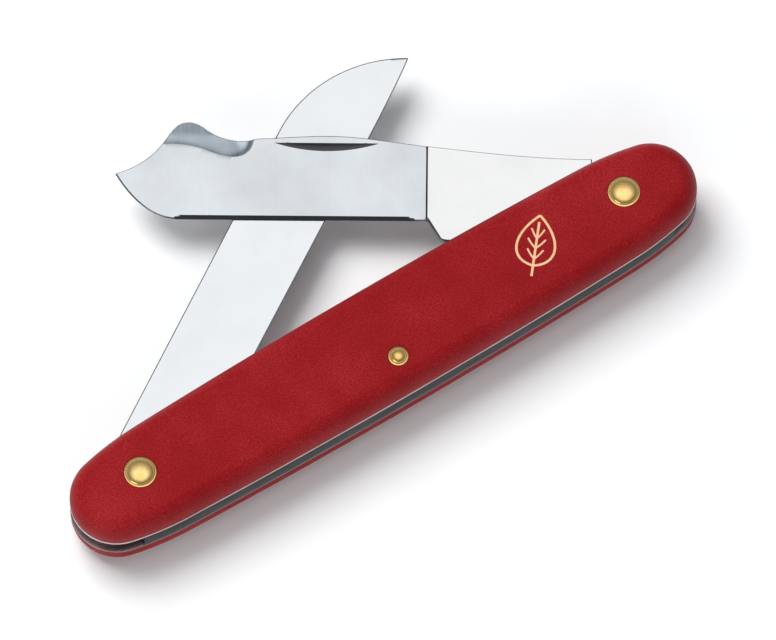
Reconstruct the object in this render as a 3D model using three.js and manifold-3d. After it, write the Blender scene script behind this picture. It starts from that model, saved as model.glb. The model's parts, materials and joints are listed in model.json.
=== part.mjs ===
// Two-blade grafting and budding knife, in millimetres.
//
// X runs along the handle, from the grafting blade's pivot to the budding blade's pivot.
// Y points from the back spring to the mouth that the blades fold out of.
// Z runs through the handle, from the back scale to the front scale.
// The origin is the middle of the back scale's flat outer face.
//
// Both blades share the slot that the back spring leaves between the liners. Each is a little under
// half as thick as the slot: the budding blade lies against the front liner and the grafting blade
// against the back liner, so that they fold in side by side, each ending short of the other's pivot.

import * as THREE from 'three';
import { mergeVertices } from 'three/addons/utils/BufferGeometryUtils.js';
import Module from 'manifold-3d';

// Handle
const HANDLE_LENGTH = 100;
const HANDLE_WIDTH = 16.2;
const HANDLE_BULGE = 1.2; // fall of a side arc from the handle's middle to its end
const HANDLE_CORNER_RADIUS = 45; // where a side turns in towards an end
const END_ROUNDNESS = 0.8; // radius of an end, as a share of half the width
const SCALE_THICKNESS = 3.9;
const SCALE_LAND = 0.8; // straight side wall of a scale, next to its liner
const SCALE_SHOULDER = 2.6; // how far the rounded shoulder reaches in over the face
const LINER_THICKNESS = 0.5;
const ASSEMBLY_GAP = 0.02; // left between flat faces that are riveted together

// Pivots and rivets
const PIVOT_FROM_END = 10.6;
const PIVOT_OFFSET = 0.4; // from the handle's centre line, towards the mouth
const PIVOT_PIN_RADIUS = 1.3;
const PIVOT_WASHER_RADIUS = 2.27;
const MIDDLE_PIN_RADIUS = 0.85;
const MIDDLE_WASHER_RADIUS = 1.42;
const MIDDLE_RIVET_X = -0.2;
const WASHER_THICKNESS = 0.5;
const WASHER_RIM = 0.24; // ring of washer that shows round a rivet's head
const HEAD_HEIGHT = 0.65;
const PIN_CLEARANCE = 0.05;
const WASHER_CLEARANCE = 0.04;

// Back spring
const SPRING_THICKNESS = 2.4;
const SPRING_REACH = 3.8; // how far each end passes its pivot
const SPRING_END_WIDTH = 2.5;
const SPRING_ARM_WIDTH = 2.3;
const SPRING_SADDLE_WALL = 0.6; // metal between the middle rivet and the spring's inner edge
const SPRING_SADDLE_LENGTH = 7;
const SPRING_END_LENGTH = 6; // straight bearing length from each pivot towards the middle
const SPRING_END_EASE = 2; // length of the handles of the curve from bearing to arm
const SPRING_SADDLE_EASE = 3; // the same for the curve from arm to saddle
const MIDDLE_RIVET_INSET = 0.9; // from the arm's inner edge line to the middle rivet's pin

// Tangs, the same on both blades
const SLOT_GAP = 0.06; // free play beside and between the blades
const TANG_CLEARANCE = 0.35;
const TANG_FLAT_DEPTH = 0.35; // how far the two flats are cut into the round tang
const BOSS_RADIUS = 3.4;
const SHOULDER_CLEARANCE = 0.6; // from the spring's end to the open blade's shoulder

// Budding blade: x from its pivot towards its tip, y from its pivot line towards its spine
const BUDDING_REST_ANGLE = 32.7; // opened from the closed position
const BUDDING_TIP_GAP = 8.2; // from the tip of the closed blade to the other pivot, along the handle
const BUDDING_TIP_Y = 4.3;
const BUDDING_EDGE_Y = -2.3;
const BUDDING_SPINE_Y = 6.85; // where the spine leaves the tang
const BUDDING_CREST_Y = 10.2;
const SPINE_CURVE = { fromTang: 9.5, toCrest: 15.5, sag: 2.05, pastCrest: 2 };
const BELLY_LENGTH = 8.6;
const RICASSO_LENGTH = 27.2;
const RICASSO_FRONT_SLOPE = 2.9; // how far the ricasso's front end leans back
const KICK_CLEARANCE = 0.35; // from the closed ricasso's corner to the spring
const KICK_CORNER = { length: 1.3, height: 0.7, ease: 1.1 };
const LIFTER_LENGTH = 19.6; // bark lifter and the notch behind it, back from the tip
const NOTCH = { drop: 0.6, length: 7, rise: 1.4, sag: 0.5, lowest: 3.1, ease: 2 };
const LIFTER_TOP_Y = 12.2;
const LIFTER_TOP_FROM_TIP = 10.1;
const LIFTER_TOP_EASE = { behind: 1.2, ahead: 1.4 };
const LIFTER_FOOT = { fromTip: 7, aboveTip: 5.3, slope: 1.59, behind: 1.1, ahead: 1.6 };
const POINT_CURVE = { spineX: 3.4, spineY: 1.15, bellyX: 1.5, bellyY: 2.6, edgeX: 4.6 };
const LIFTER_THINNING = 7; // slope of the bark lifter's thinned face, degrees
const LIFTER_HINGE_DROP = 4; // from the crest down to the line where the thinning starts
// Border of the thinned face: distances along the blade from the notch, and drops below the crest
const LIFTER_FACE = { wall: 0.5, wallDrop: 1.1, corner: 1, cornerDrop: 4, low: 4.5, lowDrop: 3.5 };
const LIFTER_FACE_END = { middleDrop: 2.4, front: 10.4, frontDrop: 1.1, fromTip: 5.5, endDrop: 1.7 };
const BUDDING_EDGE_THICKNESS = 0.35; // at the shoulder of the cutting bevel
const CUTTING_BEVEL_WIDTH = 0.55;
const KEEN_EDGE = 0.08; // thickness left at a cutting edge

// Grafting blade, in the same terms
const GRAFTING_REST_ANGLE = 32.4; // its own line from the handle's line
const GRAFTING_TIP_GAP = 4.5;
const GRAFTING_SPINE_Y = 6.03;
const GRAFTING_EDGE_Y = -5.45;
const GRAFTING_EDGE_DROP = 0.3; // how much lower the edge runs near the tip
const GRAFTING_DROP_FROM_TIP = 12;
const GRAFTING_DROP_EASE = 3;
const GRAFTING_HEEL = 17;
const POINT_RADIUS = 19.5; // of the spine where it turns down to the tip

// Nail nicks
const NICK_LENGTH = 14.8;
const NICK_HEIGHT = 1.2;
const NICK_SLOPE = 19; // degrees
const NICK_FROM_SPINE = 1.2;
const BUDDING_NICK_SHIFT = 2.2; // towards the tip from the middle of the spine

const ROUND_SEGMENTS = 28;
const CURVE_SEGMENTS = 8;
const SHOULDER_STEPS = 6;
const MERGE_TOLERANCE = 1e-4;
const BEYOND = 5; // how far a cutting solid runs past what it cuts

const wasm = await Module();
wasm.setup();

const radians = THREE.MathUtils.degToRad;

// Handle outline: a long side arc runs smoothly through a corner arc into each round end.
// Angles are from the handle's cross direction; (cornerX, cornerY) is the centre of the corner arc
// at +X on the mouth side, and the side arc there is centred on (0, -sideCentre).
const halfLength = HANDLE_LENGTH / 2;
const halfWidth = HANDLE_WIDTH / 2;
const endRadius = halfWidth * END_ROUNDNESS;
const endCentre = halfLength - endRadius;
const sideRadius = (halfLength ** 2 + HANDLE_BULGE ** 2) / (2 * HANDLE_BULGE);
const sideCentre = sideRadius - halfWidth;
const cornerReach = sideRadius - HANDLE_CORNER_RADIUS;
const cornerSpan = HANDLE_CORNER_RADIUS - endRadius;
const centreSpan = Math.hypot(endCentre, sideCentre);
const cosine = (centreSpan ** 2 + cornerReach ** 2 - cornerSpan ** 2) / (2 * centreSpan * cornerReach);
const sideAngle = Math.atan2(endCentre, sideCentre) - Math.acos(cosine);
const cornerX = cornerReach * Math.sin(sideAngle);
const cornerY = cornerReach * Math.cos(sideAngle) - sideCentre;
const endAngle = Math.atan2(endCentre - cornerX, -cornerY);

// Levels, from the back scale's outer face up
const backLinerBase = SCALE_THICKNESS + ASSEMBLY_GAP;
const slotFloor = backLinerBase + LINER_THICKNESS;
const springBase = slotFloor + ASSEMBLY_GAP;
const slotRoof = springBase + SPRING_THICKNESS + ASSEMBLY_GAP;
const frontScaleBase = slotRoof + LINER_THICKNESS + ASSEMBLY_GAP;
const handleTop = frontScaleBase + SCALE_THICKNESS;
const bladeThickness = (slotRoof - slotFloor - 3 * SLOT_GAP) / 2;
const graftingBase = slotFloor + SLOT_GAP;
const buddingBase = graftingBase + bladeThickness + SLOT_GAP;
const buddingTop = buddingBase + bladeThickness;

// Places that several pieces share
const pivotX = halfLength - PIVOT_FROM_END;
const pivotSpacing = 2 * pivotX;
const springEndInnerY = -sideDepth(pivotX) + SPRING_END_WIDTH;
const tangRadius = PIVOT_OFFSET - springEndInnerY - TANG_CLEARANCE;
const shoulderX = SPRING_REACH + SHOULDER_CLEARANCE;
const springArmInnerY = -sideDepth(pivotX / 2) + SPRING_ARM_WIDTH;
const middleRivetY = springArmInnerY + MIDDLE_PIN_RADIUS + MIDDLE_RIVET_INSET;
const saddleY = middleRivetY + MIDDLE_PIN_RADIUS + SPRING_SADDLE_WALL;

const pivotSizes = { y: PIVOT_OFFSET, pin: PIVOT_PIN_RADIUS, washer: PIVOT_WASHER_RADIUS };
const middleSizes = { y: middleRivetY, pin: MIDDLE_PIN_RADIUS, washer: MIDDLE_WASHER_RADIUS };
const RIVETS = [
  { name: 'grafting_pivot', x: -pivotX, ...pivotSizes },
  { name: 'budding_pivot', x: pivotX, ...pivotSizes },
  { name: 'middle', x: MIDDLE_RIVET_X, ...middleSizes },
];

const nylon = new THREE.MeshStandardMaterial({ color: 0x96242a, roughness: 0.6, metalness: 0 });
const brass = new THREE.MeshStandardMaterial({ color: 0xd9a94a, roughness: 0.3, metalness: 1 });
const bladeSteel = new THREE.MeshStandardMaterial({ color: 0xdde2e6, roughness: 0.25, metalness: 1 });
const springSteel = new THREE.MeshStandardMaterial({ color: 0x8d9398, roughness: 0.35, metalness: 1 });

// Distance from the handle's centre line to its side, at a place along the handle
function sideDepth(x) {
  const onSideArc = x < sideRadius * Math.sin(sideAngle);
  return onSideArc
    ? Math.sqrt(sideRadius ** 2 - x ** 2) - sideCentre
    : Math.sqrt(HANDLE_CORNER_RADIUS ** 2 - (x - cornerX) ** 2) + cornerY;
}

function toSolid(geometry) {
  geometry.deleteAttribute('normal');
  geometry.deleteAttribute('uv');
  const merged = mergeVertices(geometry, MERGE_TOLERANCE);
  return new wasm.Manifold(new wasm.Mesh({
    numProp: 3,
    vertProperties: Float32Array.from(merged.attributes.position.array),
    triVerts: Uint32Array.from(merged.index.array),
  }));
}

function toGeometry(solid) {
  const mesh = solid.getMesh();
  const geometry = new THREE.BufferGeometry();
  geometry.setAttribute('position', new THREE.BufferAttribute(mesh.vertProperties, mesh.numProp));
  geometry.setIndex(new THREE.BufferAttribute(mesh.triVerts, 1));
  geometry.computeVertexNormals();
  return geometry;
}

function namedMesh(name, geometry, material) {
  const mesh = new THREE.Mesh(geometry, material);
  mesh.name = name;
  return mesh;
}

// A flat plate of the given outline, from one level to another
function plate(shape, base, top) {
  const geometry = new THREE.ExtrudeGeometry(shape, {
    depth: top - base,
    bevelEnabled: false,
    curveSegments: CURVE_SEGMENTS,
  });
  return geometry.translate(0, 0, base);
}

function cylinder(radius, base, top, x = 0, y = 0) {
  const geometry = new THREE.CylinderGeometry(radius, radius, top - base, ROUND_SEGMENTS);
  return geometry.rotateX(Math.PI / 2).translate(x, y, (base + top) / 2);
}

function turned(profile) {
  const points = profile.map(([radius, level]) => new THREE.Vector2(radius, level));
  return new THREE.LatheGeometry(points, ROUND_SEGMENTS).rotateX(Math.PI / 2);
}

function handleOutline() {
  const spring = -Math.PI / 2;
  const mouth = Math.PI / 2;
  const corner = HANDLE_CORNER_RADIUS;
  const shape = new THREE.Shape();
  shape.absarc(0, sideCentre, sideRadius, spring - sideAngle, spring + sideAngle);
  shape.absarc(cornerX, -cornerY, corner, spring + sideAngle, spring + endAngle);
  shape.absarc(endCentre, 0, endRadius, spring + endAngle, mouth - endAngle);
  shape.absarc(cornerX, cornerY, corner, mouth - endAngle, mouth - sideAngle);
  shape.absarc(0, -sideCentre, sideRadius, mouth - sideAngle, mouth + sideAngle);
  shape.absarc(-cornerX, cornerY, corner, mouth + sideAngle, mouth + endAngle);
  shape.absarc(-endCentre, 0, endRadius, mouth + endAngle, mouth + Math.PI - endAngle);
  shape.absarc(-cornerX, -cornerY, corner, mouth + Math.PI - endAngle, mouth + Math.PI - sideAngle);
  return shape;
}

// A scale is half of a plate whose two rims are rounded over, bored and counterbored for the rivets
function scaleSolid(innerLevel, direction) {
  const rounded = new THREE.ExtrudeGeometry(handleOutline(), {
    depth: 2 * SCALE_LAND,
    bevelThickness: SCALE_THICKNESS - SCALE_LAND,
    bevelSize: SCALE_SHOULDER,
    bevelOffset: -SCALE_SHOULDER,
    bevelSegments: SHOULDER_STEPS,
    curveSegments: CURVE_SEGMENTS,
  });
  rounded.translate(0, 0, innerLevel - SCALE_LAND);
  const span = SCALE_THICKNESS + BEYOND;
  const half = new THREE.BoxGeometry(HANDLE_LENGTH + BEYOND, HANDLE_WIDTH + BEYOND, span);
  half.translate(0, 0, innerLevel + direction * span / 2);
  let scale = toSolid(rounded).intersect(toSolid(half));
  const face = innerLevel + direction * SCALE_THICKNESS;
  const seat = face - direction * (WASHER_THICKNESS + ASSEMBLY_GAP);
  for (const { x, y, pin, washer } of RIVETS) {
    const ends = [innerLevel - direction * BEYOND, face + direction * BEYOND].sort((a, b) => a - b);
    const recess = [seat, face + direction * BEYOND].sort((a, b) => a - b);
    scale = scale.subtract(toSolid(cylinder(pin + PIN_CLEARANCE, ...ends, x, y)));
    scale = scale.subtract(toSolid(cylinder(washer + WASHER_CLEARANCE, ...recess, x, y)));
  }
  return scale;
}

function liner(base) {
  let solid = toSolid(plate(handleOutline(), base, base + LINER_THICKNESS));
  for (const { x, y, pin } of RIVETS) {
    const bore = cylinder(pin + PIN_CLEARANCE, base - BEYOND, base + LINER_THICKNESS + BEYOND, x, y);
    solid = solid.subtract(toSolid(bore));
  }
  return solid;
}

// Inner edge of the spring: straight where it bears on a tang, thin along each arm, and deep
// at the saddle that the middle rivet passes through. The handle's outline trims the outer edge.
function springZone() {
  const end = pivotX + SPRING_REACH;
  const bearing = pivotX - SPRING_END_LENGTH;
  const armStart = bearing - SPRING_END_LENGTH;
  const saddle = SPRING_SADDLE_LENGTH / 2;
  const armEnd = saddle + SPRING_SADDLE_LENGTH;
  const foot = -halfWidth - BEYOND;
  const endEase = SPRING_END_EASE;
  const saddleEase = SPRING_SADDLE_EASE;
  const shape = new THREE.Shape();
  shape.moveTo(-end, foot);
  shape.lineTo(end, foot);
  shape.lineTo(end, springEndInnerY);
  shape.lineTo(bearing, springEndInnerY);
  shape.bezierCurveTo(bearing - endEase, springEndInnerY, armStart + endEase, springArmInnerY,
    armStart, springArmInnerY);
  shape.lineTo(armEnd, springArmInnerY);
  shape.bezierCurveTo(armEnd - saddleEase, springArmInnerY, saddle + saddleEase, saddleY, saddle, saddleY);
  shape.lineTo(-saddle, saddleY);
  shape.bezierCurveTo(-saddle - saddleEase, saddleY, saddleEase - armEnd, springArmInnerY,
    -armEnd, springArmInnerY);
  shape.lineTo(-armStart, springArmInnerY);
  shape.bezierCurveTo(-armStart - endEase, springArmInnerY, endEase - bearing, springEndInnerY,
    -bearing, springEndInnerY);
  shape.lineTo(-end, springEndInnerY);
  shape.closePath();
  return shape;
}

function springSolid() {
  const top = springBase + SPRING_THICKNESS;
  const zone = toSolid(plate(springZone(), springBase - BEYOND, top + BEYOND));
  const bore = cylinder(MIDDLE_PIN_RADIUS + PIN_CLEARANCE, springBase - BEYOND, top + BEYOND,
    MIDDLE_RIVET_X, middleRivetY);
  return toSolid(plate(handleOutline(), springBase, top)).intersect(zone).subtract(toSolid(bore));
}

// A rivet: a pin with a domed head at each end, each head resting on its washer
function rivetGeometry(pin, washer) {
  const head = washer - WASHER_RIM;
  const domeRadius = (head ** 2 + HEAD_HEIGHT ** 2) / (2 * HEAD_HEIGHT);
  const domeAngle = Math.asin(head / domeRadius);
  const steps = 6;
  const dome = [];
  for (let i = 0; i <= steps; i += 1) {
    const angle = domeAngle * i / steps;
    const rise = domeRadius * Math.cos(angle) - domeRadius + HEAD_HEIGHT;
    dome.push([domeRadius * Math.sin(angle), rise + ASSEMBLY_GAP]);
  }
  dome[0][0] = 0;
  const lower = dome.map(([radius, rise]) => [radius, -rise]);
  const upper = dome.map(([radius, rise]) => [radius, handleTop + rise]).reverse();
  return turned([...lower, [pin, -ASSEMBLY_GAP], [pin, handleTop + ASSEMBLY_GAP], ...upper]);
}

function washerGeometry(pin, washer, base) {
  const bore = pin + PIN_CLEARANCE;
  const top = base + WASHER_THICKNESS;
  return turned([[bore, base], [washer, base], [washer, top], [bore, top], [bore, base]]);
}

// Tang end of a blade's outline, from the ricasso's lower side round the pivot to the spine's start
function drawTang(shape, spineY) {
  const flatY = tangRadius - TANG_FLAT_DEPTH;
  const flatAngle = Math.asin(flatY / tangRadius);
  shape.lineTo(0, -flatY);
  shape.absarc(0, 0, tangRadius, -Math.PI + flatAngle, Math.PI - flatAngle, true);
  shape.lineTo(shoulderX, flatY);
  shape.lineTo(shoulderX, spineY);
}

function buddingOutline() {
  const tip = pivotSpacing - BUDDING_TIP_GAP;
  const notch = tip - LIFTER_LENGTH;
  const notchY = BUDDING_CREST_Y - NOTCH.drop;
  const notchEnd = notch + NOTCH.length;
  const crest = (RICASSO_LENGTH + notch) / 2;
  const top = tip - LIFTER_TOP_FROM_TIP;
  const foot = tip - LIFTER_FOOT.fromTip;
  const footY = BUDDING_TIP_Y + LIFTER_FOOT.aboveTip;
  const footFall = LIFTER_FOOT.slope;
  const kickX = RICASSO_LENGTH - RICASSO_FRONT_SLOPE;
  const kickY = springArmInnerY - PIVOT_OFFSET + KICK_CLEARANCE;
  const shape = new THREE.Shape();
  shape.moveTo(RICASSO_LENGTH, BUDDING_EDGE_Y);
  shape.lineTo(kickX + KICK_CORNER.length, kickY + KICK_CORNER.height);
  shape.quadraticCurveTo(kickX + KICK_CORNER.ease, kickY, kickX, kickY);
  drawTang(shape, BUDDING_SPINE_Y);
  shape.bezierCurveTo(shoulderX + SPINE_CURVE.fromTang, BUDDING_SPINE_Y,
    crest - SPINE_CURVE.toCrest, BUDDING_CREST_Y - SPINE_CURVE.sag, crest, BUDDING_CREST_Y);
  shape.quadraticCurveTo(crest + SPINE_CURVE.pastCrest, BUDDING_CREST_Y, notch, notchY);
  shape.bezierCurveTo(notch + NOTCH.lowest, notchY - NOTCH.sag, notchEnd - NOTCH.ease, notchY,
    notchEnd, notchY + NOTCH.rise);
  shape.quadraticCurveTo(top - LIFTER_TOP_EASE.behind, LIFTER_TOP_Y, top, LIFTER_TOP_Y);
  shape.bezierCurveTo(top + LIFTER_TOP_EASE.ahead, LIFTER_TOP_Y,
    foot - LIFTER_FOOT.behind, footY + LIFTER_FOOT.behind * footFall, foot, footY);
  shape.bezierCurveTo(foot + LIFTER_FOOT.ahead, footY - LIFTER_FOOT.ahead * footFall,
    tip - POINT_CURVE.spineX, BUDDING_TIP_Y + POINT_CURVE.spineY, tip, BUDDING_TIP_Y);
  shape.bezierCurveTo(tip - POINT_CURVE.bellyX, BUDDING_TIP_Y - POINT_CURVE.bellyY,
    tip - POINT_CURVE.edgeX, BUDDING_EDGE_Y, tip - BELLY_LENGTH, BUDDING_EDGE_Y);
  shape.closePath();
  return shape;
}

function graftingOutline() {
  const tip = pivotSpacing - GRAFTING_TIP_GAP;
  const tipY = GRAFTING_EDGE_Y;
  const turnStart = tip - Math.sqrt(POINT_RADIUS ** 2 - (POINT_RADIUS - GRAFTING_SPINE_Y + tipY) ** 2);
  const turnAngle = Math.asin((tip - turnStart) / POINT_RADIUS);
  const shape = new THREE.Shape();
  shape.moveTo(GRAFTING_HEEL, GRAFTING_EDGE_Y);
  drawTang(shape, GRAFTING_SPINE_Y);
  shape.lineTo(turnStart, GRAFTING_SPINE_Y);
  shape.absarc(turnStart, GRAFTING_SPINE_Y - POINT_RADIUS, POINT_RADIUS,
    Math.PI / 2, Math.PI / 2 - turnAngle, true);
  shape.quadraticCurveTo(tip - GRAFTING_DROP_EASE, tipY - GRAFTING_EDGE_DROP,
    tip - GRAFTING_DROP_FROM_TIP, tipY - GRAFTING_EDGE_DROP);
  shape.closePath();
  return shape;
}

// A block whose lower face passes through (y, level) and slopes by angle about the blade's length
function slopedCutter(fromX, toX, y, level, angle) {
  const block = new THREE.BoxGeometry(toX - fromX, 10 * BEYOND, 2 * BEYOND);
  block.translate((fromX + toX) / 2, 0, BEYOND);
  return toSolid(block.rotateX(angle).translate(0, y, level));
}

// A crescent nail nick, deepest along its straight upper side, cut down from a blade's face
function nickCutter(centreX, upperY, level) {
  const sweep = (NICK_LENGTH ** 2 / 4 + NICK_HEIGHT ** 2) / (2 * NICK_HEIGHT);
  const halfAngle = Math.asin(NICK_LENGTH / 2 / sweep);
  const shape = new THREE.Shape();
  shape.absarc(0, sweep - NICK_HEIGHT, sweep, -Math.PI / 2 - halfAngle, -Math.PI / 2 + halfAngle);
  shape.closePath();
  const crescent = plate(shape, 0, BEYOND).translate(0, NICK_HEIGHT, 0);
  crescent.rotateX(-radians(NICK_SLOPE));
  return toSolid(crescent.translate(centreX, upperY - NICK_HEIGHT, level));
}

// Bark lifter's thinned face, from the notch's end wall to the foot of the hump on the spine
function lifterCutter() {
  const tip = pivotSpacing - BUDDING_TIP_GAP;
  const notch = tip - LIFTER_LENGTH;
  const crestY = BUDDING_CREST_Y;
  const face = LIFTER_FACE;
  const end = LIFTER_FACE_END;
  const shape = new THREE.Shape();
  shape.moveTo(notch + face.wall, crestY + BEYOND);
  shape.lineTo(notch + face.wall, crestY - face.wallDrop);
  shape.bezierCurveTo(notch + face.corner, crestY - face.cornerDrop,
    notch + face.low, crestY - face.lowDrop, notch + NOTCH.length, crestY - end.middleDrop);
  shape.quadraticCurveTo(notch + end.front, crestY - end.frontDrop,
    tip - end.fromTip, crestY - end.endDrop);
  shape.lineTo(tip - end.fromTip, crestY + BEYOND);
  shape.closePath();
  const hinge = crestY - LIFTER_HINGE_DROP;
  const cutter = plate(shape, 0, BEYOND).translate(0, -hinge, 0);
  cutter.rotateX(-radians(LIFTER_THINNING));
  return toSolid(cutter.translate(0, hinge, buddingTop));
}

function buddingBladeSolid() {
  const tip = pivotSpacing - BUDDING_TIP_GAP;
  const notch = tip - LIFTER_LENGTH;
  const nickX = (RICASSO_LENGTH + notch) / 2 + BUDDING_NICK_SHIFT;
  const bevelTopY = BUDDING_EDGE_Y + CUTTING_BEVEL_WIDTH;
  const grind = Math.atan((bladeThickness - BUDDING_EDGE_THICKNESS) / (BUDDING_CREST_Y - bevelTopY));
  const bevel = Math.atan((BUDDING_EDGE_THICKNESS - KEEN_EDGE) / CUTTING_BEVEL_WIDTH);
  const hollow = slopedCutter(RICASSO_LENGTH, tip + BEYOND, BUDDING_CREST_Y, buddingTop, grind);
  const edge = slopedCutter(RICASSO_LENGTH, tip + BEYOND, BUDDING_EDGE_Y, buddingBase + KEEN_EDGE, bevel);
  const bore = cylinder(PIVOT_PIN_RADIUS + PIN_CLEARANCE, graftingBase - BEYOND, buddingTop + BEYOND);
  return toSolid(plate(buddingOutline(), buddingBase, buddingTop))
    .subtract(hollow)
    .subtract(edge)
    .subtract(lifterCutter())
    .subtract(nickCutter(nickX, BUDDING_CREST_Y - NICK_FROM_SPINE, buddingTop))
    .add(toSolid(cylinder(BOSS_RADIUS, graftingBase, buddingTop)))
    .subtract(toSolid(bore));
}

// The grafting blade's front face stays flat: its grind and its nail nick are on the back face
function graftingBladeSolid() {
  const tip = pivotSpacing - GRAFTING_TIP_GAP;
  const top = graftingBase + bladeThickness;
  const lowestY = GRAFTING_EDGE_Y - GRAFTING_EDGE_DROP;
  const grind = Math.atan((bladeThickness - KEEN_EDGE) / (GRAFTING_SPINE_Y - lowestY));
  const onBack = (cutter) => cutter.mirror([0, 0, 1]);
  const ground = slopedCutter(GRAFTING_HEEL, tip + BEYOND, GRAFTING_SPINE_Y, -graftingBase, grind);
  const nick = nickCutter(tip / 2, GRAFTING_SPINE_Y - NICK_FROM_SPINE, -graftingBase);
  const bore = cylinder(PIVOT_PIN_RADIUS + PIN_CLEARANCE, graftingBase - BEYOND, buddingTop + BEYOND);
  return toSolid(plate(graftingOutline(), graftingBase, top))
    .subtract(onBack(ground))
    .subtract(onBack(nick))
    .add(toSolid(cylinder(BOSS_RADIUS, graftingBase, buddingTop)))
    .subtract(toSolid(bore));
}

// The budding blade's outline is drawn pointing along +X and turned to lie back along the handle
function mirroredInX(solid) {
  return solid.mirror([1, 0, 0]);
}

function pivotGroup(x, angle, blade) {
  const group = new THREE.Group();
  group.position.set(x, PIVOT_OFFSET, 0);
  group.rotation.z = radians(angle);
  group.add(blade);
  return group;
}

const knife = new THREE.Group();

knife.add(namedMesh('front_scale', toGeometry(scaleSolid(frontScaleBase, 1)), nylon));
knife.add(namedMesh('back_scale', toGeometry(scaleSolid(SCALE_THICKNESS, -1)), nylon));
knife.add(namedMesh('front_liner', toGeometry(liner(slotRoof)), springSteel));
knife.add(namedMesh('back_liner', toGeometry(liner(backLinerBase)), springSteel));
knife.add(namedMesh('back_spring', toGeometry(springSolid()), springSteel));

for (const { name, x, y, pin, washer } of RIVETS) {
  const places = [
    [`${name}_rivet`, rivetGeometry(pin, washer)],
    [`${name}_front_washer`, washerGeometry(pin, washer, handleTop - WASHER_THICKNESS)],
    [`${name}_back_washer`, washerGeometry(pin, washer, 0)],
  ];
  for (const [nodeName, geometry] of places) {
    const mesh = namedMesh(nodeName, geometry, brass);
    mesh.position.set(x, y, 0);
    knife.add(mesh);
  }
}

const buddingGeometry = toGeometry(mirroredInX(buddingBladeSolid()));
const buddingBlade = namedMesh('budding_blade', buddingGeometry, bladeSteel);
const graftingBlade = namedMesh('grafting_blade', toGeometry(graftingBladeSolid()), bladeSteel);
knife.add(pivotGroup(pivotX, -BUDDING_REST_ANGLE, buddingBlade));
knife.add(pivotGroup(-pivotX, GRAFTING_REST_ANGLE, graftingBlade));

export default knife;
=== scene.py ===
import json
import math

import bmesh
import bpy
import numpy as np
from mathutils import Matrix, Vector
from mathutils.geometry import delaunay_2d_cdt


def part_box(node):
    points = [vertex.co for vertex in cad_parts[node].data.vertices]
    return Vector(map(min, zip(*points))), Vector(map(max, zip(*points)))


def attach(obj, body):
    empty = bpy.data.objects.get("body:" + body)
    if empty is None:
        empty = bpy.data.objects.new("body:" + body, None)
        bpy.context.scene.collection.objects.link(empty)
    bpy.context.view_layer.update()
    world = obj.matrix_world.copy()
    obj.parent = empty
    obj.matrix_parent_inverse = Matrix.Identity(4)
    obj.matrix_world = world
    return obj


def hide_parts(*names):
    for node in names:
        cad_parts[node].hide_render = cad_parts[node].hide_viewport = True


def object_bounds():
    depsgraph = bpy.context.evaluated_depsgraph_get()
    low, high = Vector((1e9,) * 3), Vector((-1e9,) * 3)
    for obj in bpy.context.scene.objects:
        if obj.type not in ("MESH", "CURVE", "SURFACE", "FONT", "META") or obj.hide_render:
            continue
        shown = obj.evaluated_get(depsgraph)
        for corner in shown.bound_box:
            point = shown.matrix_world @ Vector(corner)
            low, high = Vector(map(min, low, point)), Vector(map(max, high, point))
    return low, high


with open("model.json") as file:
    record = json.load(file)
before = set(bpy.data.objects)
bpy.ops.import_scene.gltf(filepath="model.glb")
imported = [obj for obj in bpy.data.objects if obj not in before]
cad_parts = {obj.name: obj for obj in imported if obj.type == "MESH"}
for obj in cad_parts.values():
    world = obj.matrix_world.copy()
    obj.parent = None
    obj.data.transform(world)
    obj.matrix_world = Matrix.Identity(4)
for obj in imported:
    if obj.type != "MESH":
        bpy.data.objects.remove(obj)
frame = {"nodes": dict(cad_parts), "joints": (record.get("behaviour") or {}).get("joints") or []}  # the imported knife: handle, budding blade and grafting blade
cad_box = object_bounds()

# Lengths are in millimetres here, and become metres when a mesh is made.
MM = 0.001

# Handle
BULGE = 1.2  # fall of a side arc from the handle's middle to its end
CORNER_RADIUS = 45.0  # where a side turns in towards an end
END_ROUNDNESS = 0.8  # radius of an end, as a share of half the width
SCALE_LAND = 0.8  # straight side wall of a scale, next to its liner
SCALE_SHOULDER = 2.6  # how far the rounded shoulder reaches in over the face
SIDE_STEPS = 60  # points along each long side of the outline
CORNER_STEPS = 10
END_STEPS = 40  # points round each end
SHOULDER_STEPS = 14
LINER_BEVEL = 0.07
SPRING_BEVEL = 0.1
RECESS_CHAMFER = 0.06  # broken edge round a scale's inner face and its washer recesses
ROUND_SHARE = 0.3  # share of an edge's width at the point that rounds it off

# Rivets
PIN_CLEARANCE = 0.05
WASHER_CLEARANCE = 0.04
WASHER_BEVEL = 0.07
HEAD_LIP = 0.12  # height of a head's straight rim
HEAD_ROUND = 0.04  # rounding where the rim meets its washer
DOME_POWER = 0.9  # under 1 makes the dome's middle flatter than an ellipse
ROUND_STEPS = 72
DOME_STEPS = 16
OVERCUT = 2.0  # how far a cutter reaches past the face it opens
BORE_OVERLAP = 0.2  # how far a scale's bore reaches into its recess

# Blades
RIM_BEVEL = 0.14  # softened edge round a blade
RIM_LINE = 0.11  # reach of the darker edge over a face, which paints shade
GRID = 0.9  # spacing of the points inside a blade's outline
GRID_GAP = 0.3  # least distance of those points from a feature
LEAST_SPACING = 0.04  # points that share a square of this size become one
CURVE_SPACING = 0.22  # spacing of the points along a blade's outline
TANG_FLAT_DEPTH = 0.35
SHOULDER_X = 4.4
BUDDING_TIP_GAP = 8.2  # from the closed blade's tip to the other pivot
BUDDING_SPINE_Y = 6.85
CREST_Y = 10.2
CREST_EASE = 4.0  # how far the rounding of the spine's crest reaches to either side
BUDDING_EDGE_Y = -2.3
TIP_Y = 4.3
BELLY_LENGTH = 8.6
RICASSO = 27.2
PLUNGE = 0.26  # width of the step where the ground face begins
KICK_Y = -5.66
LIFTER_LENGTH = 19.6
LIFTER_TOP_Y = 12.199
LIFTER_TOP_FROM_TIP = 10.1
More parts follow.
